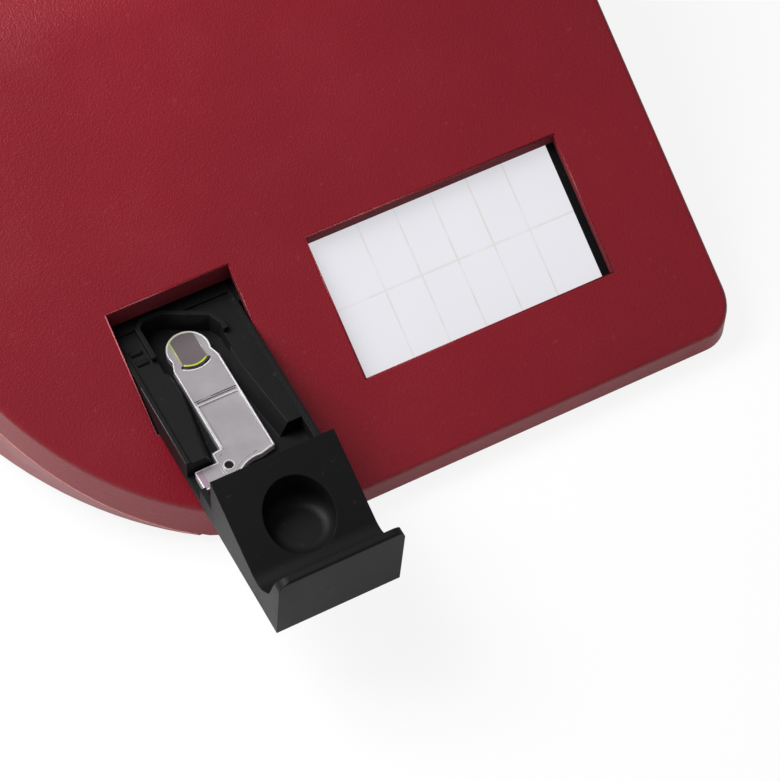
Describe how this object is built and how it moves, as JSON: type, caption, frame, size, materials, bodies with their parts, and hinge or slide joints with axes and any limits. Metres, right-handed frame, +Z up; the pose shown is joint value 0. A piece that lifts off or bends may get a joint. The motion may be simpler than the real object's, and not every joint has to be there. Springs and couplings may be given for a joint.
{
  "type": "hemoglobin meter",
  "caption": "Desktop photometer for blood: wedge-shaped red housing with a sunk display and a narrow pull-out drawer that holds a clear cuvette.",
  "frame": {"origin": "on the desk under the middle of the object's overall box, with the cuvette drawer pulled out", "axes": "+Z up, +Y away from the operator towards the rear sockets, +X to the operator's right"},
  "size_m": [0.1668, 0.1942, 0.068],
  "materials": {
    "red_case": "satin moulded plastic with a fine grain, wine red",
    "rose_case": "satin moulded plastic with a fine grain, a shade paler than the top",
    "feet_rubber": "soft black rubber",
    "screw_steel": "zinc plated",
    "gasket_foam": "matte foam",
    "frame_black": "matte black",
    "panel_white": "white display behind glass, switched off",
    "lcd_dark": "dark frame",
    "board_green": "green solder mask",
    "chip_black": "moulded epoxy",
    "can_metal": "satin",
    "connector_white": "natural nylon",
    "cable_film": "flat cable film",
    "spring_steel": "bright rolled",
    "optics_black": "matte black",
    "lens_clear": "polished",
    "led_clear": "clear epoxy",
    "drawer_black": "black moulded plastic, light sheen",
    "cuvette_clear": "clear moulded plastic",
    "cell_wrap": "printed sleeve left plain",
    "switch_black": "glossy black",
    "socket_metal": "nickel plated shell"
  },
  "bodies": {
    "housing": {"top_shell": "red_case", "bottom_shell": "rose_case", "rubber_feet": "feet_rubber", "case_screws": "screw_steel", "panel_gasket": "gasket_foam", "display_bezel": "frame_black", "touch_panel": "panel_white", "lcd_module": "lcd_dark", "display_board": "board_green", "display_screws": "screw_steel", "main_board": "board_green", "board_screws": "screw_steel", "logic_chips": "chip_black", "capacitors": "can_metal", "buzzer": "chip_black", "board_sockets": "connector_white", "display_cable": "cable_film", "drawer_guide": "frame_black", "guide_screws": "screw_steel", "detent_spring": "spring_steel", "spring_screw": "screw_steel", "position_sensor": "chip_black", "lamp_housing": "optics_black", "lamp_screws": "screw_steel", "condenser_lens": "lens_clear", "lens_ring": "optics_black", "lamp_led": "led_clear", "lamp_board": "board_green", "lamp_board_screws": "screw_steel", "detector_housing": "optics_black", "photodiode": "can_metal", "detector_board": "board_green", "detector_screws": "screw_steel", "battery_box": "frame_black", "battery_cells": "cell_wrap", "contact_plates": "spring_steel", "io_board": "board_green", "power_inlet": "switch_black", "data_socket": "socket_metal", "switch_frame": "switch_black"},
    "drawer": {"drawer_tray": "drawer_black"},
    "cuvette": {"cuvette": "cuvette_clear"},
    "battery_door": {"battery_door": "rose_case", "door_contacts": "spring_steel"},
    "rocker": {"rocker": "switch_black"}
  },
  "joints": [
    {"name": "drawer_slide", "type": "slide", "parent": "housing", "child": "drawer", "axis": [0, 1, 0], "range_m": [0, 0.048]},
    {"name": "cuvette_lift", "type": "slide", "parent": "drawer", "child": "cuvette", "axis": [0, 0, 1], "range_m": [0, 0.003]},
    {"name": "door_pull", "type": "slide", "parent": "housing", "child": "battery_door", "axis": [0, 1, 0], "range_m": [0, 0.02]},
    {"name": "rocker_tilt", "type": "hinge", "parent": "housing", "child": "rocker", "pos_m": [-0.0165, 0.0934, 0.036], "axis": [0, 0, 1], "range_deg": [-16, 0]}
  ]
}
